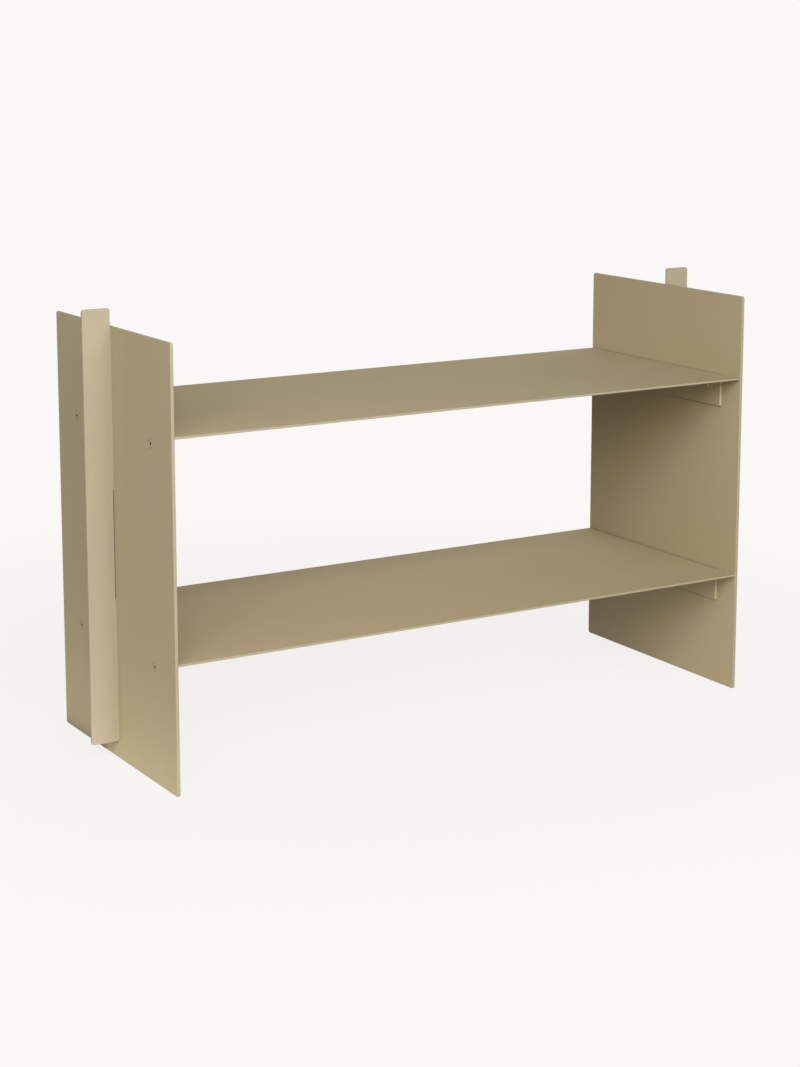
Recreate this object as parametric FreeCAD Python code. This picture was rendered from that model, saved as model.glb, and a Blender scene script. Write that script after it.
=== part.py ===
"""Wall shelf: two folded steel shelves screwed between two side plates, each plate with a fin welded outside.

Lengths are in millimetres. X runs to the viewer's right, Y towards the wall and Z up. The wall is the plane
Y = 0, and the origin is the centre of the four wall holes in it.
"""
import FreeCAD
import Part
import math
import os

Vector = FreeCAD.Vector

# Whole shelf
CLEAR_WIDTH = 617.0          # between the side plates' inner faces
DEPTH = 248.0                # from the wall to the front edges
EDGE_ROUND = 0.4             # softened edges of the cut sheet

# Side plates, the gables
GABLE_HEIGHT = 400.0
GABLE_SHEET = 3.0
GABLE_CORNER = 2.5

# Fins on the gables' outer faces
FIN_SHEET = 3.0
FIN_REACH = 26.5             # how far a fin stands out sideways
FIN_FOOT_RISE = 16.0         # fin's foot above the gable's foot
FIN_HEAD_RISE = 16.0         # fin's head above the gable's head
FIN_SETBACK = 124.0          # fin's front face behind the front edges
FIN_OUTER_CORNER = 2.5
FIN_ROOT_CORNER = 1.5
SEAM_FOOT = 150.0            # unwelded stretch, above the gable's foot
SEAM_LENGTH = 102.0
SEAM_GAP = 0.4               # open joint along the unwelded stretch
WELD_LEG = 1.4
TACK_LEG = 2.0

# Shelves
SHELF_SHEET = 2.0
LOWER_SHELF_TOP = 119.0      # above the gable's foot
UPPER_SHELF_TOP = 81.0       # below the gable's head
FOLD_DROP = 32.5             # folded edges, below the shelf's top
FOLD_RADIUS = 1.0            # inside the fold
FOLD_CORNER = 2.0
END_FOLD_SETBACK = 28.5      # end fold's front end behind the front edge
END_FOLD_REAR_GAP = 3.0      # end fold's rear end ahead of the rear fold's bend
RELIEF = 1.0                 # slot beside each end of a fold
END_CLEARANCE = 0.2          # shelf's flat ends to the gables

# Holes for the wall screws, in the rear folds
WALL_HOLE = 5.5
WALL_HOLE_INSET = 58.5       # from the gable's inner face
WALL_HOLE_DROP = 18.0        # below the shelf's top

# Shelf screws: countersunk, hex socket
SCREW_THREAD = 4.0
SCREW_LENGTH = 8.0
SCREW_HEAD = 8.0
SCREW_HEAD_RIM = 0.3         # straight edge of the head, above its cone
SCREW_SINK = 0.1             # head's top below the gable's face
SCREW_TIP = 0.5
SOCKET_WIDTH = 2.5           # across the hexagon's flats
SOCKET_DEPTH = 1.5
SCREW_HOLE = 4.4
SCREW_GAP = 0.05             # screw to countersink, and screw to nut
SCREW_EDGE = 43.0            # from the front edge, and from the wall
SCREW_DROP = 12.0            # below the shelf's top

# Nuts pressed into the end folds
NUT_BODY = 7.9
NUT_HEIGHT = 2.0
NUT_SHANK = 5.3
NUT_SHANK_SHORT = 0.1        # shank's end short of the fold's outer face
NUT_CHAMFER = 0.3
NUT_GAP = 0.05               # shank to its hole

# Places that follow from the sizes
HALF_WIDTH = CLEAR_WIDTH / 2
OUTER_FACE = HALF_WIDTH + GABLE_SHEET
GABLE_FOOT = WALL_HOLE_DROP - (LOWER_SHELF_TOP + GABLE_HEIGHT - UPPER_SHELF_TOP) / 2
GABLE_HEAD = GABLE_FOOT + GABLE_HEIGHT
FIN_FOOT = GABLE_FOOT + FIN_FOOT_RISE
FIN_HEAD = GABLE_HEAD + FIN_HEAD_RISE
FIN_FRONT = FIN_SETBACK - DEPTH
SEAM_START = GABLE_FOOT + SEAM_FOOT
SEAM_END = SEAM_START + SEAM_LENGTH
SHELF_TOPS = {
    "upper": GABLE_HEAD - UPPER_SHELF_TOP,
    "lower": GABLE_FOOT + LOWER_SHELF_TOP,
}
SCREW_PLACES = {
    "front": SCREW_EDGE - DEPTH,
    "rear": -SCREW_EDGE,
}
FOLD_OUTSIDE = FOLD_RADIUS + SHELF_SHEET
END_FOLD_FRONT = END_FOLD_SETBACK - DEPTH
END_FOLD_REAR = -FOLD_OUTSIDE - END_FOLD_REAR_GAP
NUT_HOLE = NUT_SHANK + 2 * NUT_GAP

ORIGIN = Vector(0, 0, 0)
ALONG_X = Vector(1, 0, 0)
ALONG_Y = Vector(0, 1, 0)
ALONG_Z = Vector(0, 0, 1)
TINY = 1e-6


def outline(corners):
    """Closed face through the corners, each a point and the radius that rounds it."""
    bends = []
    for i, (point, radius) in enumerate(corners):
        back = (corners[i - 1][0] - point).normalize()
        on = (corners[(i + 1) % len(corners)][0] - point).normalize()
        half_angle = back.getAngle(on) / 2
        reach = radius / math.tan(half_angle)
        middle = (back + on).normalize() * (radius / math.sin(half_angle) - radius)
        bends.append((point + back * reach, point + middle, point + on * reach, radius))
    edges = []
    for i, (start, middle, end, radius) in enumerate(bends):
        if radius > 0:
            edges.append(Part.Arc(start, middle, end).toShape())
        following = bends[(i + 1) % len(bends)][0]
        if end.distanceToPoint(following) > TINY:
            edges.append(Part.LineSegment(end, following).toShape())
    return Part.Face(Part.Wire(edges))


def turned(profile, start):
    """Solid turned about the X direction through start, from pairs of distance along it and radius."""
    points = [start + Vector(along, 0, radius) for along, radius in profile]
    face = Part.Face(Part.makePolygon(points + points[:1]))
    return face.revolve(start, ALONG_X, 360)


def flat_edges(shape, direction):
    """Edges of a plate that lie in its faces, square to the direction of its thickness."""
    edges = []
    for edge in shape.Edges:
        heights = [vertex.Point.dot(direction) for vertex in edge.Vertexes]
        if max(heights) - min(heights) < TINY:
            edges.append(edge)
    return edges


def screw_points(x):
    """Every shelf screw's place on the plane at x, keyed by shelf and end."""
    points = {}
    for shelf, top in SHELF_TOPS.items():
        for end, y in SCREW_PLACES.items():
            points[shelf, end] = Vector(x, y, top - SCREW_DROP)
    return points


def make_gable():
    """Right side plate, with a countersunk hole for each shelf screw."""
    corners = [
        (Vector(HALF_WIDTH, -DEPTH, GABLE_FOOT), GABLE_CORNER),
        (Vector(HALF_WIDTH, 0, GABLE_FOOT), GABLE_CORNER),
        (Vector(HALF_WIDTH, 0, GABLE_HEAD), GABLE_CORNER),
        (Vector(HALF_WIDTH, -DEPTH, GABLE_HEAD), GABLE_CORNER),
    ]
    plate = outline(corners).extrude(ALONG_X * GABLE_SHEET)
    plate = plate.makeFillet(EDGE_ROUND, flat_edges(plate, ALONG_X))
    hole = SCREW_HOLE / 2
    mouth = SCREW_HEAD / 2 + SCREW_GAP + SCREW_HEAD_RIM + SCREW_SINK
    profile = [(0, 0), (0, mouth), (hole - mouth, hole), (-GABLE_SHEET, hole), (-GABLE_SHEET, 0)]
    holes = [turned(profile, point) for point in screw_points(OUTER_FACE).values()]
    return plate.cut(holes)


def make_fin():
    """Right fin, its root against the gable and relieved along the unwelded stretch."""
    tip = OUTER_FACE + FIN_REACH
    corners = [
        (Vector(OUTER_FACE, FIN_FRONT, FIN_FOOT), FIN_ROOT_CORNER),
        (Vector(tip, FIN_FRONT, FIN_FOOT), FIN_OUTER_CORNER),
        (Vector(tip, FIN_FRONT, FIN_HEAD), FIN_OUTER_CORNER),
        (Vector(OUTER_FACE, FIN_FRONT, FIN_HEAD), FIN_ROOT_CORNER),
    ]
    plate = outline(corners).extrude(ALONG_Y * FIN_SHEET)
    free = [edge for edge in flat_edges(plate, ALONG_Y) if edge.BoundBox.XMax > OUTER_FACE + TINY]
    plate = plate.makeFillet(EDGE_ROUND, free)
    seam_corner = Vector(OUTER_FACE, FIN_FRONT, SEAM_START)
    return plate.cut(Part.makeBox(SEAM_GAP, FIN_SHEET, SEAM_LENGTH, seam_corner))


def make_welds():
    """Beads in the front corner of the right fin, either side of the open seam, and a tack at its head."""
    corner = Vector(OUTER_FACE, FIN_FRONT, 0)
    section = Part.makePolygon([corner, corner + ALONG_X * WELD_LEG, corner - ALONG_Y * WELD_LEG, corner])
    stretches = [
        (FIN_FOOT + FIN_ROOT_CORNER, SEAM_START),
        (SEAM_END, GABLE_HEAD - EDGE_ROUND),
    ]
    beads = []
    for foot, head in stretches:
        bead = Part.Face(section).extrude(ALONG_Z * (head - foot))
        beads.append(bead.translated(ALONG_Z * foot))
    corner = Vector(OUTER_FACE, FIN_FRONT, GABLE_HEAD)
    section = Part.makePolygon([corner, corner - ALONG_X * TACK_LEG, corner + ALONG_Z * TACK_LEG, corner])
    beads.append(Part.Face(section).extrude(ALONG_Y * FIN_SHEET))
    return Part.makeCompound(beads)


def make_end_fold(shelf):
    """Right end of the named shelf, from where its bend starts down to its lower edge."""
    bend = HALF_WIDTH - FOLD_OUTSIDE
    inside = HALF_WIDTH - SHELF_SHEET
    top = SHELF_TOPS[shelf]
    low = top - FOLD_DROP
    section = [
        (Vector(bend, END_FOLD_FRONT, top), 0),
        (Vector(HALF_WIDTH, END_FOLD_FRONT, top), FOLD_OUTSIDE),
        (Vector(HALF_WIDTH, END_FOLD_FRONT, low), EDGE_ROUND),
        (Vector(inside, END_FOLD_FRONT, low), EDGE_ROUND),
        (Vector(inside, END_FOLD_FRONT, top - SHELF_SHEET), FOLD_RADIUS),
        (Vector(bend, END_FOLD_FRONT, top - SHELF_SHEET), 0),
    ]
    fold = outline(section).extrude(ALONG_Y * (END_FOLD_REAR - END_FOLD_FRONT))
    side_view = [
        (Vector(bend, END_FOLD_FRONT, top), 0),
        (Vector(bend, END_FOLD_REAR, top), 0),
        (Vector(bend, END_FOLD_REAR, low), FOLD_CORNER),
        (Vector(bend, END_FOLD_FRONT, low), FOLD_CORNER),
    ]
    fold = fold.common(outline(side_view).extrude(ALONG_X * FOLD_OUTSIDE))
    points = screw_points(inside)
    holes = []
    for end in SCREW_PLACES:
        holes.append(Part.makeCylinder(NUT_HOLE / 2, SHELF_SHEET, points[shelf, end], ALONG_X))
    return fold.cut(holes)


def make_shelf(shelf):
    """The named shelf, a flat sheet with its ends and its rear edge folded down."""
    reach = HALF_WIDTH - END_CLEARANCE
    top = SHELF_TOPS[shelf]
    low = top - FOLD_DROP
    section = [
        (Vector(-reach, -DEPTH, top - SHELF_SHEET), EDGE_ROUND),
        (Vector(-reach, -DEPTH, top), EDGE_ROUND),
        (Vector(-reach, 0, top), FOLD_OUTSIDE),
        (Vector(-reach, 0, low), EDGE_ROUND),
        (Vector(-reach, -SHELF_SHEET, low), EDGE_ROUND),
        (Vector(-reach, -SHELF_SHEET, top - SHELF_SHEET), FOLD_RADIUS),
    ]
    sheet = outline(section).extrude(ALONG_X * (2 * reach))
    notch_length = END_FOLD_REAR - END_FOLD_FRONT + 2 * RELIEF
    notch_corner = Vector(HALF_WIDTH - FOLD_OUTSIDE, END_FOLD_FRONT - RELIEF, top - SHELF_SHEET)
    notch = Part.makeBox(FOLD_OUTSIDE, notch_length, SHELF_SHEET, notch_corner)
    sheet = sheet.cut([notch, on_left(notch)])
    end_fold = make_end_fold(shelf)
    sheet = sheet.fuse([end_fold, on_left(end_fold)]).removeSplitter()
    wall_holes = []
    for x in (WALL_HOLE_INSET - HALF_WIDTH, HALF_WIDTH - WALL_HOLE_INSET):
        start = Vector(x, -SHELF_SHEET, top - WALL_HOLE_DROP)
        wall_holes.append(Part.makeCylinder(WALL_HOLE / 2, SHELF_SHEET, start, ALONG_Y))
    return sheet.cut(wall_holes)


def make_screw(face_point):
    """Screw in the right gable, whose outer face is at face_point."""
    head = SCREW_HEAD / 2
    thread = SCREW_THREAD / 2
    tip = -SCREW_LENGTH
    profile = [
        (0, 0),
        (0, head),
        (-SCREW_HEAD_RIM, head),
        (-SCREW_HEAD_RIM - head + thread, thread),
        (tip + SCREW_TIP, thread),
        (tip, thread - SCREW_TIP),
        (tip, 0),
    ]
    start = face_point - ALONG_X * SCREW_SINK
    radius = SOCKET_WIDTH / math.sqrt(3)
    corners = []
    for i in range(6):
        angle = math.radians(60 * i)
        corners.append(start + Vector(0, radius * math.cos(angle), radius * math.sin(angle)))
    socket = Part.Face(Part.makePolygon(corners + corners[:1])).extrude(ALONG_X * -SOCKET_DEPTH)
    return turned(profile, start).cut(socket)


def make_nut(seat):
    """Nut in a right end fold, with its body's flat face at seat on the fold's inner face."""
    body = NUT_BODY / 2
    shank = NUT_SHANK / 2
    bore = SCREW_THREAD / 2 + SCREW_GAP
    shank_end = SHELF_SHEET - NUT_SHANK_SHORT
    profile = [
        (shank_end, bore),
        (shank_end, shank),
        (0, shank),
        (0, body),
        (NUT_CHAMFER - NUT_HEIGHT, body),
        (-NUT_HEIGHT, body - NUT_CHAMFER),
        (-NUT_HEIGHT, bore + NUT_CHAMFER),
        (NUT_CHAMFER - NUT_HEIGHT, bore),
    ]
    return turned(profile, seat)


def on_left(shape):
    """The same piece on the left-hand side."""
    return shape.mirror(ORIGIN, ALONG_X)


def make_pieces():
    """Every piece by its name."""
    right = {
        "gable": make_gable(),
        "fin": make_fin(),
        "fin_welds": make_welds(),
    }
    pieces = {}
    for name, shape in right.items():
        pieces["left_" + name] = on_left(shape)
        pieces["right_" + name] = shape
    for shelf in SHELF_TOPS:
        pieces[shelf + "_shelf"] = make_shelf(shelf)
    nut_seats = screw_points(HALF_WIDTH - SHELF_SHEET)
    for (shelf, end), point in screw_points(OUTER_FACE).items():
        fasteners = {
            "screw": make_screw(point),
            "nut": make_nut(nut_seats[shelf, end]),
        }
        for name, shape in fasteners.items():
            pieces[f"{shelf}_left_{end}_{name}"] = on_left(shape)
            pieces[f"{shelf}_right_{end}_{name}"] = shape
    return pieces


os.makedirs("parts", exist_ok=True)
for piece_name, piece in make_pieces().items():
    piece.exportStep(f"parts/{piece_name}.step")
    print(piece_name, len(piece.Solids), round(piece.Volume, 1), piece.isValid())
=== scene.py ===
"""Looks and stage of a wall shelf, laid out as a Blender add-on and run as a script.

The packed frame gives the gables, fins, shelves and nuts their shapes. This file coats them, puts finer
screws and weld beads in place of the plain ones, and sets the floor, the light and the camera. Lengths are
in metres, with X to the viewer's right, Y towards the wall and Z up.
"""

import math

import bpy
import numpy as np
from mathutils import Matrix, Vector


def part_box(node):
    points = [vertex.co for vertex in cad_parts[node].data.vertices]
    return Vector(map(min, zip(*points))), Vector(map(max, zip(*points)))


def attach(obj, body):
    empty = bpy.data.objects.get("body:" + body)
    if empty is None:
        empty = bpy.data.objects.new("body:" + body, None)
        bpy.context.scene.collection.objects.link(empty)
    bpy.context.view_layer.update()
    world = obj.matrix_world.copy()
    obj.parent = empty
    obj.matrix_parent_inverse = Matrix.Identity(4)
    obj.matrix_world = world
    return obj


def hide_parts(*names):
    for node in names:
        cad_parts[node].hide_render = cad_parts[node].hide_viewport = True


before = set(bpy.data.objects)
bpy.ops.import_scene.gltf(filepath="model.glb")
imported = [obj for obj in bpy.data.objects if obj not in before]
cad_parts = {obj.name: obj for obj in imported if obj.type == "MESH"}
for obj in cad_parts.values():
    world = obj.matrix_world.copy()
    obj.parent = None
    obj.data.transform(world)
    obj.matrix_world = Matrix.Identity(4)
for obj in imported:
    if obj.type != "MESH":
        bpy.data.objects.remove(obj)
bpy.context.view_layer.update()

bl_info = {
    "name": "Wall shelf",
    "version": (1, 0, 0),
    "blender": (4, 5, 0),
    "location": "3D View > Sidebar > Wall shelf",
    "description": "Coats a wall shelf of folded sheet steel and sets its stage",
    "category": "Object",
}

BODY = "root"
MM = 0.001
SIDES = {"left": -1, "right": 1}
SHELVES = ("upper", "lower")
ENDS = ("front", "rear")

# The shelves' sheet, and how far their end folds stand back from the front edge.
SHELF_SHEET = 2.0 * MM
FOLD_SETBACK = 28.5 * MM

# How far the long beads stop from the fin's foot and from the gable's top.
BEAD_FOOT_GAP = 1.5 * MM
BEAD_HEAD_GAP = 0.4 * MM

# How strongly the coat's patterns move its tone, roughness, wear and bump, and how metallic bare steel is.
DRIFT_TONE = 0.9
SPECKLE_TONE = 0.5
BEND_TONE = 0.25
DRIFT_ROUGH = 0.12
SPECKLE_ROUGH = 0.10
BEND_SMOOTH = 0.05
EDGE_SMOOTH = 0.08
SPECKLE_WEAR = 0.6
WEAR_START = 0.2
WEAR_FULL = 0.8
SPECKLE_BUMP = 0.25
STEEL_METALLIC = 0.4

# Painted shade lines on the gables: how dark each is, where it starts, is full, fades and ends, and its
# soft tips.
RING_SHADE = 0.55
RING_GAP = 0.2 * MM
RING_FADE = (0.12 * MM, 0.3 * MM)
FOLD_SHADE = 0.42
FOLD_LINE = (0.2 * MM, 0.6 * MM, 1.0 * MM, 2.0 * MM)
FOLD_FADE = (40 * MM, 110 * MM)
CREASE_SHADE = 0.18
CREASE_LINE = (-0.8 * MM, -0.2 * MM, 2.0 * MM, 3.0 * MM)
LINE_TIP = 1.0 * MM

# Each lamp's heading round the shelf and height above it in degrees, its size, and whether gloss shows it.
LAMPS = {
    "key": (-10, 28, (2.0, 1.6), True),
    "side": (-40, 26, (1.2, 1.0), True),
    "left": (-66, 22, (1.4, 1.0), True),
    "right": (118, 15, (1.2, 1.0), False),
    "rear": (155, 10, (1.4, 1.0), False),
}
LAMP_AIM = Vector((0, -0.12, 0))
LAMP_REACH = 2.5

# The floor and the white cards that lie on it, a little below the gables' feet.
FLOOR_DROP = 0.2 * MM
CARD_DROP = 0.1 * MM
CARD_WIDTH = 0.105
CARD_MARGIN = 0.08
CARD_GAP = 0.025
CARD_INSET = 0.0125

# The shelf's shadow is full up to this distance, and gone at this share of the floor's radius.
SHADOW_FULL = 0.3
SHADOW_GONE = 0.6

# The longer side of the photo in pixels, which takes the whole width of the camera's sensor.
PHOTO_HEIGHT = 1067
SENSOR = 36.0

# Numbers of a Mix node's sockets for colours, because several of its sockets have the same name.
MIX_SHARE = 0
MIX_FIRST = 6
MIX_SECOND = 7
MIX_COLOUR = 2

gable_low, gable_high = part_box("right_gable")
fin_low, fin_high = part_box("right_fin")
weld_low, weld_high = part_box("right_fin_welds")
shelf_low, shelf_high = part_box("upper_shelf")
screw_low, screw_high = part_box("upper_right_front_screw")
nut_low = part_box("upper_right_front_nut")[0]
shelf_tops = [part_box(shelf + "_shelf")[1].z for shelf in SHELVES]
shelf_drop = shelf_high.z - shelf_low.z
fold_front = shelf_low.y + FOLD_SETBACK
head_radius = (screw_high.y - screw_low.y) / 2
screw_middles = {
    (shelf, end): sum(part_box(f"{shelf}_right_{end}_screw"), Vector()) / 2
    for shelf in SHELVES
    for end in ENDS
}


class Wire:
    """One output of a shader node. Sums on wires and numbers add the Math nodes that work them out."""

    def __init__(self, board, socket):
        self.board = board
        self.socket = socket

    def __add__(self, other):
        return self.board.math("ADD", self, other)

    __radd__ = __add__

    def __sub__(self, other):
        return self.board.math("SUBTRACT", self, other)

    def __rsub__(self, other):
        return self.board.math("SUBTRACT", other, self)

    def __mul__(self, other):
        return self.board.math("MULTIPLY", self, other)

    __rmul__ = __mul__

    def __pow__(self, other):
        return self.board.math("POWER", self, other)

    def __rpow__(self, other):
        return self.board.math("POWER", other, self)

    def __abs__(self):
        return self.board.math("ABSOLUTE", self)


class Board:
    """The node tree of a material or of the world, emptied and ready for new nodes."""

    def __init__(self, owner):
        owner.use_nodes = True
        self.tree = owner.node_tree
        self.tree.nodes.clear()

    def node(self, kind, settings=None, sockets=None, out=0):
        """Adds a node, sets its settings and then its sockets, and returns the wire of one output.

        out names that output. Where it is a list of names, a list of wires is returned. A node without
        outputs returns nothing.
        """
        made = self.tree.nodes.new(kind)
        for name, value in (settings or {}).items():
            setattr(made, name, value)
        for name, value in (sockets or {}).items():
            if isinstance(value, Wire):
                self.tree.links.new(value.socket, made.inputs[name])
            else:
                made.inputs[name].default_value = value
        if not made.outputs:
            return None
        if isinstance(out, list):
            return [Wire(self, made.outputs[name]) for name in out]
        return Wire(self, made.outputs[out])

    def math(self, operation, *values):
        """A Math node on wires and numbers."""
        return self.node("ShaderNodeMath", {"operation": operation}, dict(enumerate(values)))

    def lowest(self, *values):
        """The least of several values."""
        least = values[0]
        for value in values[1:]:
            least = self.math("MINIMUM", least, value)
        return least

    def ramp(self, value, start, end):
        """Goes smoothly from 0 at start to 1 at end."""
        sockets = {"Value": value, "From Min": start, "From Max": end}
        return self.node("ShaderNodeMapRange", {"interpolation_type": "SMOOTHSTEP"}, sockets)

    def fade(self, value, start, end):
        """Goes smoothly from 1 at start to 0 at end."""
        return 1 - self.ramp(value, start, end)

    def line(self, value, start, full, fade, end):
        """Goes smoothly from 0 at start to 1 at full, and from 1 at fade back to 0 at end."""
        return self.ramp(value, start, full) * self.fade(value, fade, end)

    def noise(self, place, grain, detail):
        """Cloudy pattern from 0 to 1 whose lumps are about one grain across."""
        sockets = {"Vector": place, "Scale": 0.5 / grain, "Detail": detail}
        return self.node("ShaderNodeTexNoise", sockets=sockets)

    def blend(self, first, second, share, kind="MIX"):
        """Colour that goes from the first to the second, or to their product, as share goes from 0 to 1."""
        settings = {"data_type": "RGBA", "blend_type": kind}
        sockets = {MIX_SHARE: share, MIX_FIRST: opaque(first), MIX_SECOND: opaque(second)}
        return self.node("ShaderNodeMix", settings, sockets, MIX_COLOUR)

    def place(self):
        """A point's place in the frame, because every piece's object sits at the origin."""
        return self.node("ShaderNodeTexCoord", out="Object")

    def axes(self, place):
        """The three coordinates of a place."""
        return self.node("ShaderNodeSeparateXYZ", sockets={0: place}, out=["X", "Y", "Z"])


def opaque(colour):
    """A colour with its alpha added. A wire stays as it is."""
    return colour if isinstance(colour, Wire) else (*colour, 1.0)


def tinted(colour, share):
    """A colour made lighter or darker by a share of itself."""
    return tuple(channel * (1 + share) for channel in colour)


def new_material(name):
    """A new material and its empty board."""
    material = bpy.data.materials.new(name)
    return material, Board(material)


def coat_material(name, edge=None, cut=None, bend=None, corner=None, joint_shade=None, rubbed=None, bare=None,
                  tint=(1, 1, 1), corner_shade_tint=(1, 1, 1)):
    """Matt powder coat with a drifting tone, fine speckle, orange peel, a thinner coat on edges, and
    painted light and shade.

    tint colours the whole coat, which is a painted highlight on the fins and painted shade on the beads.
    edge, cut, bend, corner, joint and rubbed take the board and the three coordinates, and give a mask of
    edges, whose thin coat is also a painted highlight, of cut ends with a painted highlight, of bends, of
    inside corners with painted shade in corner_shade_tint, of joints, gaps and creases with painted shade,
    and of ends that are rubbed bright and lightened further by a painted highlight. bare names an attribute
    that is 1 where the steel is bare and dark, which in the screws' sockets is painted shade.
    """
    coat = bpy.context.scene.shelf_coat
    steel = bpy.context.scene.shelf_screws
    material, board = new_material(name)
    place = board.place()
    axes = board.axes(place)
    drift = board.noise(place, coat.drift_size, detail=2.0)
    speckle = board.noise(place, coat.grain_size, detail=1.0)
    peel = board.noise(place, coat.peel_size, detail=1.5)
    tone = 0.5 + (drift - 0.5) * DRIFT_TONE + (speckle - 0.5) * SPECKLE_TONE
    rough = coat.roughness + (drift - 0.5) * DRIFT_ROUGH + (speckle - 0.5) * SPECKLE_ROUGH
    metallic = 0.0
    if bend:
        stretched = bend(board, axes)
        tone = tone + stretched * BEND_TONE
        rough = rough - stretched * BEND_SMOOTH
    # tint is painted light: a painted highlight on the fins and painted shade on the beads.
    middle = [channel * share for channel, share in zip(coat.colour, tint)]
    colour = board.blend(tinted(middle, -coat.variation), tinted(middle, coat.variation), tone)
    # The edges' thin coat takes a paler, bluer colour, which is also a painted highlight.
    if edge:
        worn_and_highlit = edge(board, axes) * board.ramp(drift + speckle * SPECKLE_WEAR, WEAR_START, WEAR_FULL)
        colour = board.blend(colour, coat.edge_wear_and_highlight_colour, worn_and_highlit * coat.edge_wear)
        rough = rough - worn_and_highlit * EDGE_SMOOTH
    # Painted highlight on the cut front ends of the folds.
    if cut:
        colour = board.blend(colour, coat.fold_end_highlight_colour, cut(board, axes))
    # Painted shade in the inside corners beside the fins.
    if corner:
        colour = board.blend(colour, corner_shade_tint, corner(board, axes), "MULTIPLY")
    # Painted shade in the joints: dark rings, seam, creases and lines under the folds.
    if joint_shade:
        colour = board.blend(colour, coat.joint_shade_colour, joint_shade(board, axes))
    # Bare steel is dark; in the screws' sockets this dark colour is painted shade.
    if bare:
        share = board.node("ShaderNodeAttribute", {"attribute_name": bare}, out="Fac")
        metallic = share * STEEL_METALLIC
        colour = board.blend(colour, steel.steel_and_socket_shade_colour, share)
        rough = rough + share * (steel.steel_roughness - coat.roughness)
    # Lighter ends of screws and nuts: rubbed metal, and a painted highlight.
    if rubbed:
        colour = board.blend(colour, steel.rubbed_and_highlight_colour, rubbed(board, axes))
    height = peel + speckle * SPECKLE_BUMP
    sockets = {"Strength": 1.0, "Distance": coat.peel_depth, "Height": height}
    bump = board.node("ShaderNodeBump", sockets=sockets)
    sockets = {"Base Color": colour, "Roughness": rough, "Metallic": metallic, "Normal": bump}
    sockets["Specular IOR Level"] = coat.gloss
    shader = board.node("ShaderNodeBsdfPrincipled", sockets=sockets)
    board.node("ShaderNodeOutputMaterial", sockets={"Surface": shader})
    return material


def near(board, distance):
    """Mask that is 1 on an edge and fades away from it over the coat's edge width."""
    return board.fade(distance, 0.0, bpy.context.scene.shelf_coat.edge_width)


def gable_edge(board, axes):
    """Mask of a gable's cut edges."""
    _, y, z = axes
    return near(board, board.lowest(y - gable_low.y, gable_high.y - y, z - gable_low.z, gable_high.z - z))


def outer_side(board, x):
    """1 on the outer side of a gable's sheet and beyond it, 0 on its inner side."""
    return board.math("GREATER_THAN", abs(x), (gable_low.x + gable_high.x) / 2)


def root_corner_shade(board, axes):
    """Mask of painted shade in the inside corners between a fin and its gable, fading away on both sheets.
    """
    x, y, z = axes
    width = bpy.context.scene.shelf_coat.corner_shade_width
    tip = 0.3 * width
    from_fin = board.math("MAXIMUM", fin_low.y - y, y - fin_high.y)
    from_corner = board.math("MAXIMUM", from_fin, abs(x) - gable_high.x)
    along = board.ramp(board.lowest(z - fin_low.z, gable_high.z - z), -tip, 0.0)
    return outer_side(board, x) * along * board.fade(from_corner, 0.0, width)


def open_seam_shade(board, axes):
    """Mask of painted shade in the open seam, the stretch of a fin's root that has no weld bead."""
    x, y, z = axes
    welds = bpy.context.scene.shelf_welds
    lip = 0.25 * MM
    along = board.lowest(z - welds.seam_foot, welds.seam_head - z)
    deep = board.lowest(y - (fin_low.y - lip), fin_high.y + lip - y)
    beside = 2 * lip - abs(abs(x) - gable_high.x)
    return board.ramp(board.lowest(along, deep, beside), 0.0, 0.5 * lip)


def from_screw(board, axes):
    """Distance from the axis of the nearest screw."""
    _, y, z = axes
    middles = screw_middles.values()
    return board.lowest(*[((y - middle.y) ** 2.0 + (z - middle.z) ** 2.0) ** 0.5 for middle in middles])


def below_top(board, z):
    """How far a point is below the top of the shelf that it belongs to."""
    upper, lower = shelf_tops
    on_upper = board.math("GREATER_THAN", z, (upper + lower) / 2)
    return lower + on_upper * (upper - lower) - z


def gable_joint_shade(board, axes):
    """Mask of a gable's dark lines, all of them painted shade.

    Outside they are the rings round its screws and the open seam, painted shade in the gaps there. Inside
    they are the creases where the shelves' bends start, painted shade in the groove, and painted shadows
    under the lines where their folds end, which fade towards the rear.
    """
    x, y, z = axes
    # Painted shade in the gap round each screw's head.
    from_ring = abs(from_screw(board, axes) - head_radius - RING_GAP)
    ring = RING_SHADE * board.fade(from_ring, *RING_FADE)
    depth = below_top(board, z)
    behind = y - fold_front
    along = board.ramp(board.lowest(behind, shelf_high.y - y), 0.0, LINE_TIP)
    # Painted shadow under the lower edge of each end fold, fading towards the rear.
    fold = FOLD_SHADE * board.line(depth - shelf_drop, *FOLD_LINE) * board.fade(behind, *FOLD_FADE)
    # Painted shade in the crease where each shelf's bend meets the gable.
    crease = CREASE_SHADE * board.line(depth, *CREASE_LINE)
    outer = board.math("MAXIMUM", ring, open_seam_shade(board, axes))
    inner = along * board.math("MAXIMUM", fold, crease)
    outside = outer_side(board, x)
    return outside * outer + (1 - outside) * inner


def fin_edge(board, axes):
    """Mask of a fin's cut edges."""
    x, _, z = axes
    return near(board, board.lowest(fin_high.x - abs(x), z - fin_low.z, fin_high.z - z))


def shelf_edge(board, axes):
    """Mask of a shelf's front edge, its ends and the lower edges of its folds."""
    x, y, z = axes
    from_foot = abs(below_top(board, z) - shelf_drop)
    return near(board, board.lowest(y - shelf_low.y, shelf_high.x - abs(x), from_foot))


def shelf_bend(board, axes):
    """Mask of the stretched outside of a shelf's bends, at its ends and along its rear."""
    x, y, z = axes
    width = 1.5 * SHELF_SHEET
    full = 0.3 * width
    inward = board.lowest(shelf_high.x - abs(x), shelf_high.y - y)
    return board.fade(inward, full, width) * board.fade(below_top(board, z), full, width)


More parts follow.
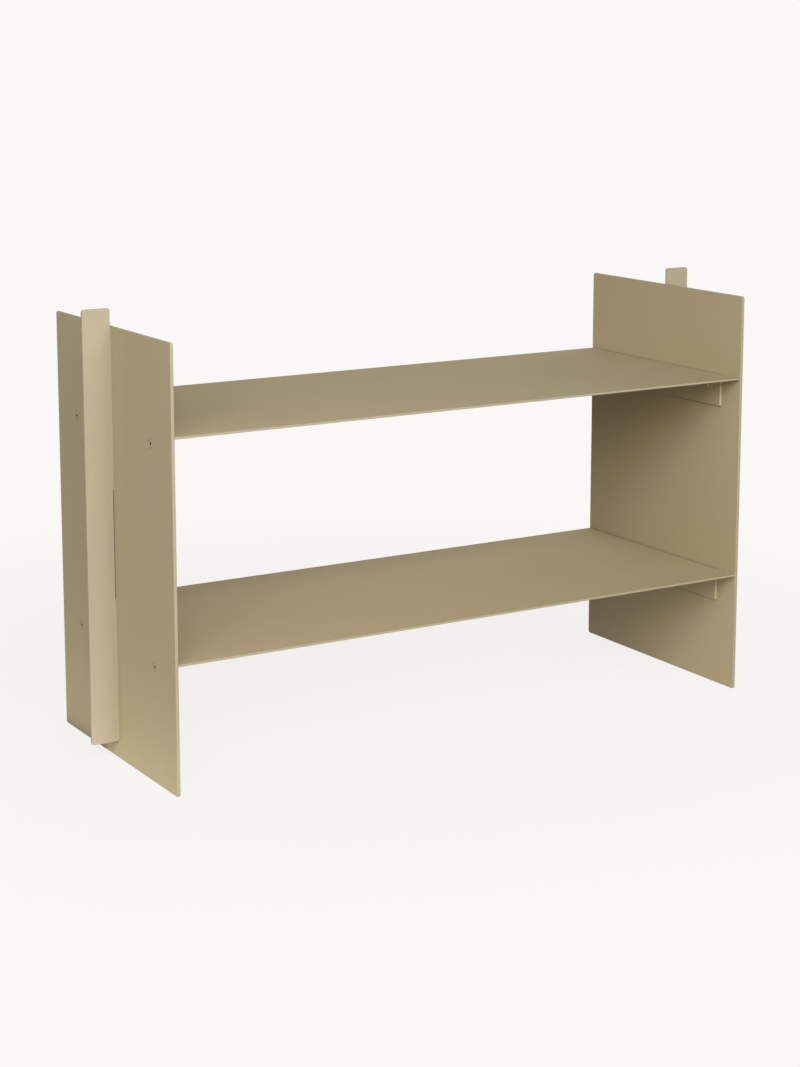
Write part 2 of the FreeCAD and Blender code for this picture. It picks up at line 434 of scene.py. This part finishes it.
def fold_end_highlight(board, axes):
    """Mask of a painted highlight on the cut front ends of a shelf's end folds."""
    _, y, z = axes
    skin = 0.2 * MM
    at_end = board.fade(abs(y - fold_front), skin, 2 * skin)
    return at_end * board.ramp(below_top(board, z), SHELF_SHEET, 2 * SHELF_SHEET)


def inner_end_wear_and_highlight(low):
    """Mask of the lighter inner ends of screws or nuts, which start this far from the shelf's middle.

    The lightness is partly rubbed metal and partly a painted highlight.
    """
    skin = 0.15 * MM
    skin_end = 0.35 * MM
    lip = 0.7 * MM
    lip_end = 1.0 * MM

    def mask(board, axes):
        at_end = board.fade(abs(axes[0]) - low, skin, skin_end)
        shank = bpy.context.scene.shelf_screws.thread / 2
        return at_end * board.fade(from_screw(board, axes), shank + lip, shank + lip_end)

    return mask


def dress(names, material):
    """Puts a material on every slot of the named CAD nodes."""
    for name in names:
        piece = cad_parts[name]
        if not piece.material_slots:
            raise RuntimeError(name + " has no material slot")
        for slot in piece.material_slots:
            slot.material = material


def grid_faces(rows, columns):
    """Corners of the faces of a tube of rows by columns, closed all round and by a point at each end.

    The tube's vertices come first, row by row, then the point before the first row and then the one after
    the last.
    """
    across = np.arange(columns)
    on = (across + 1) % columns
    down = np.arange(rows - 1)[:, None] * columns
    quads = np.stack([down + across, down + on, down + columns + on, down + columns + across], axis=-1)
    first = np.full(columns, rows * columns)
    last = first + 1
    end = (rows - 1) * columns
    caps = np.concatenate([
        np.stack([first, on, across], axis=-1),
        np.stack([last, end + across, end + on], axis=-1),
    ])
    return quads.reshape(-1, 4), caps


def tube_piece(name, tubes, material):
    """Mesh object of closed tubes, each an array of rows by columns of points and its two end points.

    The faces are turned outwards by the sign of the volume that they close in.
    """
    points = []
    loops = []
    counts = []
    start = 0
    for rings, first, last in tubes:
        tube = np.concatenate([rings.reshape(-1, 3), [first], [last]])
        quads, caps = grid_faces(*rings.shape[:2])
        triangles = np.concatenate([quads[:, [0, 1, 2]], quads[:, [0, 2, 3]], caps])
        a, b, c = (tube[triangles[:, corner]] for corner in range(3))
        if np.einsum("ij,ij->i", a, np.cross(b, c)).sum() < 0:
            quads = quads[:, ::-1]
            caps = caps[:, ::-1]
        points.append(tube)
        loops += [quads.ravel() + start, caps.ravel() + start]
        counts += [np.full(len(quads), 4), np.full(len(caps), 3)]
        start += len(tube)
    points = np.concatenate(points)
    loops = np.concatenate(loops)
    counts = np.concatenate(counts)
    mesh = bpy.data.meshes.new(name)
    mesh.vertices.add(len(points))
    mesh.vertices.foreach_set("co", points.ravel())
    mesh.loops.add(len(loops))
    mesh.loops.foreach_set("vertex_index", loops)
    mesh.polygons.add(len(counts))
    mesh.polygons.foreach_set("loop_start", np.cumsum(counts) - counts)
    mesh.polygons.foreach_set("loop_total", counts)
    mesh.update(calc_edges=True)
    if mesh.validate():
        raise RuntimeError(name + " has faces that Blender can't use")
    mesh.materials.append(material)
    piece = bpy.data.objects.new(name, mesh)
    bpy.context.scene.collection.objects.link(piece)
    return piece


def weld_bead(start, end, legs, size, welds):
    """Bead along a straight line, as a profile carried from start to end.

    Its profile is the corner and a superellipse from one leg to the other, which is a little hollow. The
    legs swell by a cosine along the line, which lags towards the feet so that the ripples are bowed, and
    they shrink to a point at both ends along a quarter of a circle.
    """
    least_rows = 12
    rows_per_ripple = 8
    columns = 11
    taper_length = 1.5 * size
    bow = 0.9
    root = -0.03 * MM
    start, end = np.array(start), np.array(end)
    length = np.linalg.norm(end - start)
    rows = max(least_rows, int(length / welds.ripple * rows_per_ripple))
    along = np.linspace(0, 1, rows + 2)[1:-1] * length
    across = np.linspace(0, 1, columns)
    turn = across * math.pi / 2
    run = np.minimum(np.minimum(along, length - along) / taper_length, 1)
    taper = np.sqrt(1 - (1 - run) ** 2)
    wave = np.cos(2 * math.pi * (along[:, None] / welds.ripple + bow * (across - 0.5) ** 2))
    swell = size * taper[:, None] * (1 + welds.swell * wave)
    corner = np.full((rows, 1), root)
    one = np.concatenate([swell * np.abs(np.cos(turn)) ** welds.fullness, corner], axis=1)
    two = np.concatenate([swell * np.abs(np.sin(turn)) ** welds.fullness, corner], axis=1)
    line = start + along[:, None] / length * (end - start)
    first, second = np.array(legs)
    rings = line[:, None, :] + one[..., None] * first + two[..., None] * second
    return rings, start, end


def screw_tube(middle, side, screws):
    """Countersunk screw, turned about its axis from the floor of its socket over the head to its tip.

    Each row has a place along the axis and a radius. In the socket the radius is that of a hexagon, its
    half width over the cosine of the angle from the nearest flat's middle. Along the shank the radius is
    cut by a ridge that climbs one pitch in a turn: a triangle wave of the place over the pitch less the
    angle over a whole turn. Returns the tube, and for each of its points how bare the steel is.
    """
    columns = 72
    rows_per_turn = 14
    soft = 0.12 * MM
    bevel = 0.3 * soft
    floor_rise = 0.15 * MM
    floor_share = 0.55
    floor_dip = 1.12
    face_share = 0.72
    thread_depth = 0.6 * screws.pitch
    thread_flat = 0.125
    tip_taper = 0.5 * MM
    thread_bare = 0.8
    angle = np.arange(columns) / columns * 2 * math.pi
    length = screw_high.x - screw_low.x
    shank = screws.thread / 2
    floor = -screws.socket_depth
    hexagon = screws.socket / 2 / np.cos(np.mod(angle, math.pi / 3) - math.pi / 6)
    socket_rows = [
        (floor, floor_share * hexagon),
        (floor + floor_rise, hexagon),
        (-soft, hexagon),
    ]
    face_rows = [
        (0.0, hexagon + soft),
        (0.0, face_share * head_radius),
        (0.0, head_radius - soft),
        (-bevel, head_radius - bevel),
    ]
    cone_rows = [
        (-soft, head_radius),
        (-screws.rim, head_radius),
        (-screws.rim - 0.5 * (head_radius - shank), (head_radius + shank) / 2),
    ]
    neck = screws.rim + head_radius - shank
    run = np.linspace(neck, length, int((length - neck) / screws.pitch * rows_per_turn))
    turns = np.mod(run[:, None] / screws.pitch - angle / (2 * math.pi), 1)
    ridge = np.clip(np.abs(2 * turns - 1) * (1 + 2 * thread_flat) - thread_flat, 0, 1)
    lead = np.clip((run - neck) / screws.pitch, 0, 1)
    tip = np.clip(shank - tip_taper + length - run, 0, shank)
    thread = np.minimum(shank - thread_depth * (1 - ridge) * lead[:, None], tip[:, None])
    rows = socket_rows + face_rows + cone_rows
    places = np.concatenate([[place for place, radius in rows], -run])
    radii = np.concatenate([[np.broadcast_to(radius, columns) for place, radius in rows], thread])
    face = side * screw_high.x
    along = np.broadcast_to(face + side * places[:, None], radii.shape)
    across = side * radii * np.cos(angle)
    rings = np.stack([along, middle.y + across, middle.z + radii * np.sin(angle)], axis=-1)
    first = (face + side * floor * floor_dip, middle.y, middle.z)
    last = (face - side * length, middle.y, middle.z)
    counts = [len(socket_rows), len(face_rows), len(cone_rows), len(run)]
    # Bare steel in the socket, under the head and on the thread; its dark colour in the socket is painted
    # shade.
    bare = np.repeat(np.repeat([1.0, 0.0, 1.0, thread_bare], counts), columns)
    return (rings, first, last), np.concatenate([bare, [1.0, thread_bare]])


class ShelfCoat(bpy.types.PropertyGroup):
    """Powder coat on every sheet."""

    colour: bpy.props.FloatVectorProperty(
        name="Colour", description="Colour of the coat", subtype="COLOR", size=3, min=0, max=1,
        default=(0.42, 0.35, 0.213))
    # Painted highlight: the fins, which face the lamps, are coloured paler and bluer than the rest of the
    # coat.
    fin_highlight_tint: bpy.props.FloatVectorProperty(
        name="Fin tint", description="How the fins' coat differs from the rest", size=3, min=0, max=2,
        default=(1.0, 1.04, 1.175))
    # Painted shade: the beads are coloured darker than the rest of the coat.
    weld_shade_tint: bpy.props.FloatVectorProperty(
        name="Weld tint", description="How the beads' coat differs from the rest", size=3, min=0, max=2,
        default=(0.9, 0.9, 0.93))
    variation: bpy.props.FloatProperty(
        name="Variation", description="Lightest and darkest tone of the coat", subtype="FACTOR", min=0,
        max=0.3, default=0.045)
    roughness: bpy.props.FloatProperty(
        name="Roughness", description="How matt the coat is", subtype="FACTOR", min=0, max=1, default=0.68)
    gloss: bpy.props.FloatProperty(
        name="Gloss", description="Strength of the coat's reflections", subtype="FACTOR", min=0, max=1,
        default=0.06)
    drift_size: bpy.props.FloatProperty(
        name="Drift", description="Size of the wide changes of tone", unit="LENGTH", default=0.09)
    grain_size: bpy.props.FloatProperty(
        name="Grain", description="Size of the coat's fine speckle", unit="LENGTH", default=0.0006)
    peel_size: bpy.props.FloatProperty(
        name="Orange peel", description="Size of the waves in the coat's skin", unit="LENGTH",
        default=0.0022)
    peel_depth: bpy.props.FloatProperty(
        name="Peel depth", description="Depth of the waves in the coat's skin", unit="LENGTH",
        default=0.00003)
    # The edges' thin coat, whose paler and bluer colour is also a painted highlight.
    edge_wear_and_highlight_colour: bpy.props.FloatVectorProperty(
        name="Edges", description="Colour of the thin coat on the edges", subtype="COLOR", size=3,
        min=0, max=1, default=(0.41, 0.357, 0.242))
    edge_wear: bpy.props.FloatProperty(
        name="Edge wear", description="How far the edges take on that colour", subtype="FACTOR", min=0,
        max=1, default=0.8)
    edge_width: bpy.props.FloatProperty(
        name="Edge width", description="How far the thin coat reaches from an edge", unit="LENGTH",
        default=0.0012)
    # Painted highlight on the cut front ends of the folds.
    fold_end_highlight_colour: bpy.props.FloatVectorProperty(
        name="Cut ends", description="Colour of the cut front ends of the folds", subtype="COLOR", size=3,
        min=0, max=1, default=(0.555, 0.482, 0.327))
    # Painted shade in the corners where the fins meet the gables, on the gables and on the fins.
    gable_corner_shade: bpy.props.FloatVectorProperty(
        name="Gable corner", description="How the gables' coat differs in the corners beside the fins",
        size=3, min=0, max=2, default=(0.92, 0.93, 0.98))
    fin_corner_shade: bpy.props.FloatVectorProperty(
        name="Fin corner", description="How the fins' coat differs in the corners beside the gables",
        size=3, min=0, max=2, default=(0.915, 0.915, 0.90))
    # How far that painted shade reaches from the corners.
    corner_shade_width: bpy.props.FloatProperty(
        name="Corner width", description="How far the thin coat reaches from those corners", unit="LENGTH",
        default=0.014)
    # Colour of the painted shade in the joints, gaps, creases and under the folds.
    joint_shade_colour: bpy.props.FloatVectorProperty(
        name="Joints", description="Colour in the joints that the coat doesn't reach", subtype="COLOR",
        size=3, min=0, max=1, default=(0.03, 0.024, 0.014))


class ShelfScrews(bpy.types.PropertyGroup):
    """Countersunk screws with hexagon sockets."""

    thread: bpy.props.FloatProperty(
        name="Thread", description="Diameter of the thread", unit="LENGTH", default=0.004)
    pitch: bpy.props.FloatProperty(
        name="Pitch", description="Climb of the thread in one turn", unit="LENGTH", default=0.0007)
    rim: bpy.props.FloatProperty(
        name="Rim", description="Straight edge of the head above its cone", unit="LENGTH", default=0.0003)
    socket: bpy.props.FloatProperty(
        name="Socket", description="Width across the socket's flats", unit="LENGTH", default=0.0025)
    socket_depth: bpy.props.FloatProperty(
        name="Socket depth", description="Depth of the socket", unit="LENGTH", default=0.0015)
    # Dark colour of the bare steel, which in the screws' sockets is painted shade.
    steel_and_socket_shade_colour: bpy.props.FloatVectorProperty(
        name="Steel", description="Colour of the bare thread and socket", subtype="COLOR", size=3,
        min=0, max=1, default=(0.035, 0.028, 0.017))
    steel_roughness: bpy.props.FloatProperty(
        name="Steel roughness", description="How dull the bare steel is", subtype="FACTOR", min=0, max=1,
        default=0.42)
    # Colour of the ends of screws and nuts, rubbed bright and lightened further as a painted highlight.
    rubbed_and_highlight_colour: bpy.props.FloatVectorProperty(
        name="Rubbed ends", description="Colour of the bright ends of screws and nuts", subtype="COLOR",
        size=3, min=0, max=1, default=(0.6, 0.52, 0.35))


class ShelfWelds(bpy.types.PropertyGroup):
    """Weld beads between the fins and the gables."""

    seam_foot: bpy.props.FloatProperty(
        name="Seam foot", description="Height where the open seam starts", unit="LENGTH", default=-0.051)
    seam_head: bpy.props.FloatProperty(
        name="Seam head", description="Height where the open seam ends", unit="LENGTH", default=0.051)
    leg: bpy.props.FloatProperty(
        name="Leg", description="Width of a bead on each sheet, as a share of the corner it may fill",
        subtype="FACTOR", min=0.1, max=1, default=0.4)
    ripple: bpy.props.FloatProperty(
        name="Ripple", description="Distance between the ripples of a bead", unit="LENGTH", default=0.0021)
    swell: bpy.props.FloatProperty(
        name="Swell", description="Height of the ripples as a share of the bead", subtype="FACTOR", min=0,
        max=0.5, default=0.04)
    fullness: bpy.props.FloatProperty(
        name="Fullness", description="Profile of the bead: 2 is flat, more is hollow", min=1, max=4,
        default=2.7)


class ShelfStage(bpy.types.PropertyGroup):
    """Floor, light and camera."""

    background: bpy.props.FloatVectorProperty(
        name="Background", description="Colour behind the shelf", subtype="COLOR", size=3, min=0, max=1,
        default=(0.956, 0.939, 0.922))
    shadow: bpy.props.FloatProperty(
        name="Shadow", description="How strongly the floor shows the shelf's shadow", subtype="FACTOR",
        min=0, max=1, default=0.12)
    floor_radius: bpy.props.FloatProperty(
        name="Floor radius", description="Radius of the floor", unit="LENGTH", default=1.6)
    floor_light: bpy.props.FloatProperty(
        name="Floor light", description="Light on the bare floor, where 1 makes white paper white", min=0.1,
        default=1.2)
    floor_bounce: bpy.props.FloatProperty(
        name="Floor bounce", description="Share of its light that the floor gives back to the shelf",
        subtype="FACTOR", min=0, max=1, default=0.4)
    ambient: bpy.props.FloatProperty(
        name="Ambient", description="Light from all round", min=0, default=0.1)
    key_level: bpy.props.FloatProperty(
        name="Key lamp", description="Light of the wide lamp in front", min=0, default=0.785)
    side_level: bpy.props.FloatProperty(
        name="Side lamp", description="Light of the lamp at the front left", min=0, default=0.38)
    left_level: bpy.props.FloatProperty(
        name="Left lamp", description="Light of the lamp on the left", min=0, default=0.253)
    right_level: bpy.props.FloatProperty(
        name="Right lamp", description="Light of the lamp on the right", min=0, default=0.3)
    rear_level: bpy.props.FloatProperty(
        name="Rear lamp", description="Light of the lamp behind", min=0, default=0.58)
    left_card: bpy.props.FloatProperty(
        name="Left card", description="Light of the white card on the floor at the left", min=0,
        default=0.92)
    rear_card: bpy.props.FloatProperty(
        name="Rear card", description="Light of the white card on the floor behind the left fin", min=0,
        default=0.725)
    under_card: bpy.props.FloatProperty(
        name="Under card", description="Light of the white card on the floor under the shelf", min=0,
        default=0.305)
    camera_place: bpy.props.FloatVectorProperty(
        name="Camera place", description="Where the camera stands", subtype="TRANSLATION", unit="LENGTH",
        size=3, default=(-1.100, -1.929, 0.465))
    camera_turn: bpy.props.FloatVectorProperty(
        name="Camera turn", description="Tilt from straight down, roll and heading", subtype="EULER",
        size=3, default=(math.radians(90 - 9.53), 0.0, math.radians(-31.12)))
    focal_pixels: bpy.props.FloatProperty(
        name="Focal length", description="Focal length in pixels of the photo", min=1, default=2216.0)
    shift: bpy.props.FloatProperty(
        name="Shift", description="Camera's vertical shift, as a share of the frame's height",
        default=-0.13)


class SHELF_OT_gables(bpy.types.Operator):
    """Coat the two side plates"""

    bl_idname = "shelf.gables"
    bl_label = "Gables"

    def execute(self, context):
        material = coat_material(
            "gable_coat", edge=gable_edge, corner=root_corner_shade, joint_shade=gable_joint_shade,
            corner_shade_tint=context.scene.shelf_coat.gable_corner_shade)
        dress(["left_gable", "right_gable"], material)
        return {"FINISHED"}


class SHELF_OT_fins(bpy.types.Operator):
    """Coat the upright fins on the side plates"""

    bl_idname = "shelf.fins"
    bl_label = "Fins"

    def execute(self, context):
        coat = context.scene.shelf_coat
        material = coat_material(
            "fin_coat", edge=fin_edge, corner=root_corner_shade, joint_shade=open_seam_shade, tint=coat.fin_highlight_tint,
            corner_shade_tint=coat.fin_corner_shade)
        dress(["left_fin", "right_fin"], material)
        return {"FINISHED"}


class SHELF_OT_welds(bpy.types.Operator):
    """Lay the weld beads between the fins and the side plates"""

    bl_idname = "shelf.welds"
    bl_label = "Weld beads"

    def execute(self, context):
        welds = context.scene.shelf_welds
        material = coat_material("weld_coat", tint=context.scene.shelf_coat.weld_shade_tint)
        face = gable_high.x
        leg = welds.leg * (weld_high.x - face)
        stretches = [
            (fin_low.z + BEAD_FOOT_GAP, welds.seam_foot),
            (welds.seam_head, gable_high.z - BEAD_HEAD_GAP),
        ]
        for side_name, side in SIDES.items():
            beads = []
            for foot, head in stretches:
                ends = [(side * face, fin_low.y, z) for z in (foot, head)]
                beads.append(weld_bead(*ends, [(side, 0, 0), (0, -1, 0)], leg, welds))
            tack = [(side * face, y, gable_high.z) for y in (fin_low.y, fin_high.y)]
            beads.append(weld_bead(*tack, [(-side, 0, 0), (0, 0, 1)], face - weld_low.x, welds))
            piece = tube_piece(side_name + "_fin_beads", beads, material)
            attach(piece, BODY)
            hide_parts(side_name + "_fin_welds")
        return {"FINISHED"}


class SHELF_OT_shelves(bpy.types.Operator):
    """Coat the two folded shelves"""

    bl_idname = "shelf.shelves"
    bl_label = "Shelves"

    def execute(self, context):
        material = coat_material("shelf_coat", edge=shelf_edge, cut=fold_end_highlight, bend=shelf_bend)
        dress(["upper_shelf", "lower_shelf"], material)
        return {"FINISHED"}


class SHELF_OT_screws(bpy.types.Operator):
    """Put in the countersunk screws"""

    bl_idname = "shelf.screws"
    bl_label = "Screws"

    def execute(self, context):
        material = coat_material("screw_coat", rubbed=inner_end_wear_and_highlight(screw_low.x), bare="bare")
        for side_name, side in SIDES.items():
            for (shelf, end), middle in screw_middles.items():
                node = f"{shelf}_{side_name}_{end}_screw"
                tube, bare = screw_tube(middle, side, context.scene.shelf_screws)
                piece = tube_piece(node.replace("screw", "socket_screw"), [tube], material)
                piece.data.attributes.new("bare", "FLOAT", "POINT").data.foreach_set("value", bare)
                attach(piece, BODY)
                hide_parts(node)
        return {"FINISHED"}


class SHELF_OT_nuts(bpy.types.Operator):
    """Coat the nuts pressed into the shelves' end folds"""

    bl_idname = "shelf.nuts"
    bl_label = "Nuts"

    def execute(self, context):
        nuts = [f"{shelf}_{side}_{end}_nut" for shelf in SHELVES for side in SIDES for end in ENDS]
        dress(nuts, coat_material("nut_coat", rubbed=inner_end_wear_and_highlight(nut_low.x)))
        return {"FINISHED"}


def area_lamp(name, place, direction, size, power, gloss):
    """Oblong area lamp that shows only by its light, and in gloss if asked."""
    lamp = bpy.data.lights.new(name, "AREA")
    lamp.shape = "RECTANGLE"
    lamp.size, lamp.size_y = size
    lamp.energy = power
    holder = bpy.data.objects.new(name, lamp)
    holder.location = place
    holder.rotation_euler = direction.to_track_quat("-Z", "Y").to_euler()
    holder.visible_camera = False
    holder.visible_glossy = gloss
    bpy.context.scene.collection.objects.link(holder)


def soft_lamp(name, heading, height, size, level, gloss):
    """Area lamp that faces the shelf from a heading round it and a height above it, both in degrees.

    Its power is pi squared times its distance squared for a level of 1, at which white paper that faces it
    looks white.
    """
    turn, rise = math.radians(heading), math.radians(height)
    level_way = Vector((math.sin(turn), -math.cos(turn), 0))
    towards = math.cos(rise) * level_way + math.sin(rise) * Vector((0, 0, 1))
    power = level * (math.pi * LAMP_REACH) ** 2
    area_lamp(name, LAMP_AIM + LAMP_REACH * towards, -towards, size, power, gloss)


def floor_card(name, low, high, level):
    """White card on the floor between two corners: a lamp that shines up, and is white at a level of 1."""
    width, depth = high[0] - low[0], high[1] - low[1]
    middle = Vector((low[0] + width / 2, low[1] + depth / 2, gable_low.z - CARD_DROP))
    area_lamp(name, middle, Vector((0, 0, 1)), (width, depth), level * math.pi * width * depth, False)


def seen_directly(board):
    """1 for rays from the camera, and for those mirrored by gloss or let through by glass."""
    kinds = ["Is Camera Ray", "Is Glossy Ray", "Is Transmission Ray"]
    camera, glossy, through = board.node("ShaderNodeLightPath", out=kinds)
    return board.math("MINIMUM", camera + glossy + through, 1.0)


def floor_disc(level, radius):
    """Flat disc at a level: one face through points at even steps of angle on a circle."""
    columns = 96
    angle = np.arange(columns) / columns * 2 * math.pi
    points = np.stack([radius * np.cos(angle), radius * np.sin(angle), np.full(columns, level)], axis=-1)
    mesh = bpy.data.meshes.new("floor")
    mesh.from_pydata(points.tolist(), [], [list(range(columns))])
    floor = bpy.data.objects.new("floor", mesh)
    bpy.context.scene.collection.objects.link(floor)
    return floor


class SHELF_OT_stage(bpy.types.Operator):
    """Set the floor, the light and the camera"""

    bl_idname = "shelf.stage"
    bl_label = "Floor, light and camera"

    def execute(self, context):
        stage = context.scene.shelf_stage
        floor = floor_disc(gable_low.z - FLOOR_DROP, stage.floor_radius)
        floor.data.materials.append(self.floor_material(stage))
        self.world(context, stage)
        for name, (heading, height, size, gloss) in LAMPS.items():
            soft_lamp(name + "_lamp", heading, height, size, getattr(stage, name + "_level"), gloss)
        self.cards(stage)
        self.camera(context, stage)
        context.scene.view_settings.view_transform = "Standard"
        return {"FINISHED"}

    def floor_material(self, stage):
        """Pale floor that the camera sees as the background, with part of the shadow near the shelf."""
        material, board = new_material("floor_pale")
        x, y, _ = board.axes(board.place())
        far = (x ** 2.0 + y ** 2.0) ** 0.5
        shadow = stage.shadow * board.fade(far, SHADOW_FULL, SHADOW_GONE * stage.floor_radius)
        background = opaque(stage.background)
        lit = tinted(stage.background, 1 / stage.floor_light - 1)
        pale = board.node("ShaderNodeBsdfDiffuse", sockets={"Color": opaque(lit)})
        flat = board.node("ShaderNodeEmission", sockets={"Color": background, "Strength": 1.0})
        shown = board.node("ShaderNodeMixShader", sockets={0: shadow, 1: flat, 2: pale})
        dim = tinted(stage.background, stage.floor_bounce - 1)
        bounce = board.node("ShaderNodeBsdfDiffuse", sockets={"Color": opaque(dim)})
        shader = board.node("ShaderNodeMixShader", sockets={0: seen_directly(board), 1: bounce, 2: shown})
        board.node("ShaderNodeOutputMaterial", sockets={"Surface": shader})
        return material

    def world(self, context, stage):
        """Background colour where it is seen, and even ambient light elsewhere."""
        world = bpy.data.worlds.new("studio")
        context.scene.world = world
        board = Board(world)
        background = opaque(stage.background)
        white = opaque((1, 1, 1))
        seen = board.node("ShaderNodeBackground", sockets={"Color": background, "Strength": 1.0})
        light = board.node("ShaderNodeBackground", sockets={"Color": white, "Strength": stage.ambient})
        shader = board.node("ShaderNodeMixShader", sockets={0: seen_directly(board), 1: light, 2: seen})
        board.node("ShaderNodeOutputWorld", sockets={"Surface": shader})

    def cards(self, stage):
        """White cards on the floor: at the left of the shelf, behind its left fin, and under it."""
        front, back = gable_low.y - CARD_MARGIN, gable_high.y + CARD_MARGIN
        left, side = -gable_high.x - CARD_WIDTH, -gable_high.x
        middle = fin_high.y + CARD_GAP
        floor_card("left_card", (left, front), (side, middle), stage.left_card)
        floor_card("rear_card", (left, middle), (side - CARD_INSET, back), stage.rear_card)
        floor_card("under_card", (-gable_low.x, front), (gable_low.x, back), stage.under_card)

    def camera(self, context, stage):
        """Camera that takes the photo's view, its focal length given in the photo's pixels."""
        lens = bpy.data.cameras.new("camera")
        lens.sensor_width = SENSOR
        lens.lens = stage.focal_pixels / PHOTO_HEIGHT * SENSOR
        lens.shift_y = stage.shift
        camera = bpy.data.objects.new("camera", lens)
        camera.location = stage.camera_place
        camera.rotation_euler = stage.camera_turn
        context.scene.collection.objects.link(camera)
        context.scene.camera = camera


STEPS = (
    SHELF_OT_gables,
    SHELF_OT_fins,
    SHELF_OT_welds,
    SHELF_OT_shelves,
    SHELF_OT_screws,
    SHELF_OT_nuts,
    SHELF_OT_stage,
)
GROUPS = {
    "shelf_coat": ShelfCoat,
    "shelf_screws": ShelfScrews,
    "shelf_welds": ShelfWelds,
    "shelf_stage": ShelfStage,
}


class SHELF_PT_panel(bpy.types.Panel):
    """Sizes, colours and steps of the wall shelf"""

    bl_idname = "SHELF_PT_panel"
    bl_label = "Wall shelf"
    bl_space_type = "VIEW_3D"
    bl_region_type = "UI"
    bl_category = "Wall shelf"

    def draw(self, context):
        for name, group in GROUPS.items():
            box = self.layout.box()
            box.label(text=group.__doc__)
            for field in group.__annotations__:
                box.prop(getattr(context.scene, name), field)
        for step in STEPS:
            self.layout.operator(step.bl_idname)


def register():
    """Makes the groups, the operators and the panel known to Blender."""
    for name, group in GROUPS.items():
        bpy.utils.register_class(group)
        setattr(bpy.types.Scene, name, bpy.props.PointerProperty(type=group))
    for step in STEPS:
        bpy.utils.register_class(step)
    bpy.utils.register_class(SHELF_PT_panel)


def unregister():
    """Takes them away again, in the reverse order."""
    bpy.utils.unregister_class(SHELF_PT_panel)
    for step in reversed(STEPS):
        bpy.utils.unregister_class(step)
    for name, group in reversed(GROUPS.items()):
        delattr(bpy.types.Scene, name)
        bpy.utils.unregister_class(group)


def main():
    register()
    bpy.ops.shelf.gables()
    bpy.ops.shelf.fins()
    bpy.ops.shelf.welds()
    bpy.ops.shelf.shelves()
    bpy.ops.shelf.screws()
    bpy.ops.shelf.nuts()
    bpy.ops.shelf.stage()


if __name__ == "__main__":
    main()
